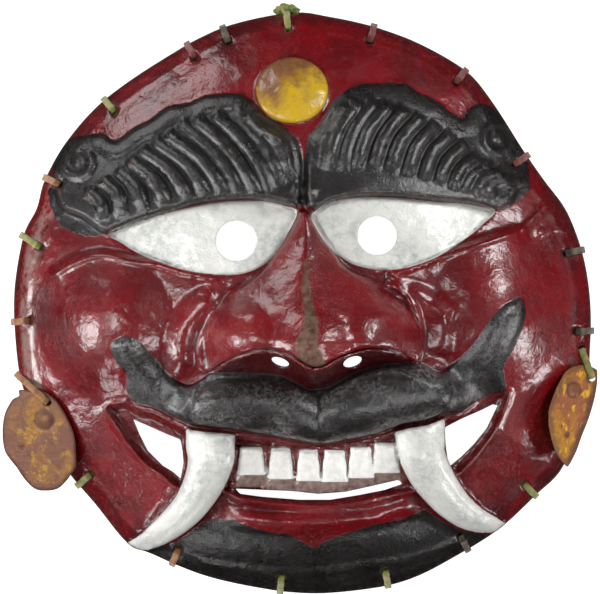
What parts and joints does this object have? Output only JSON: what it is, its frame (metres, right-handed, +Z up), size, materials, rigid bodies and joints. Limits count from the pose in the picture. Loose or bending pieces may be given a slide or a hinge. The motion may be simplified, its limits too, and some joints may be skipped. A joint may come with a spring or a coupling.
{
  "type": "ceremonial mask",
  "caption": "Round demon dance mask of hammered sheet copper with heavy brows, moustache, tusks and open grin, laced rim and two hanging ear discs, lying face up.",
  "frame": {"origin": "centre of the whole part's bounding box in plan, on the surface the rim lies on", "axes": "+Z straight up out of the face, +Y towards the top of the head, +X towards the picture's right"},
  "size_m": [0.31, 0.3048, 0.1032],
  "materials": {
    "painted_sheet": "glossy worn enamel paint in red, black, white and yellow over hammered copper",
    "disc_metal": "worn yellow paint over rusted brown metal",
    "tie_green": "faded green cloth",
    "tie_ochre": "faded ochre cloth",
    "tie_dark": "dirty brown cloth",
    "tie_red": "faded red cloth"
  },
  "bodies": {
    "root": {"mask_shell": "painted_sheet", "ear_disc_left": "disc_metal", "ear_disc_right": "disc_metal", "ear_tie_left": "tie_ochre", "ear_tie_right": "tie_green", "rim_tie_01": "tie_green", "rim_tie_02": "tie_dark", "rim_tie_03": "tie_red", "rim_tie_04": "tie_green", "rim_tie_05": "tie_ochre", "rim_tie_06": "tie_green", "rim_tie_07": "tie_ochre", "rim_tie_08": "tie_green", "rim_tie_09": "tie_ochre", "rim_tie_10": "tie_green", "rim_tie_11": "tie_green", "rim_tie_12": "tie_dark", "rim_tie_13": "tie_green", "rim_tie_14": "tie_dark", "rim_tie_15": "tie_dark", "rim_tie_16": "tie_red", "rim_tie_17": "tie_red", "rim_tie_18": "tie_red"}
  },
  "joints": []
}
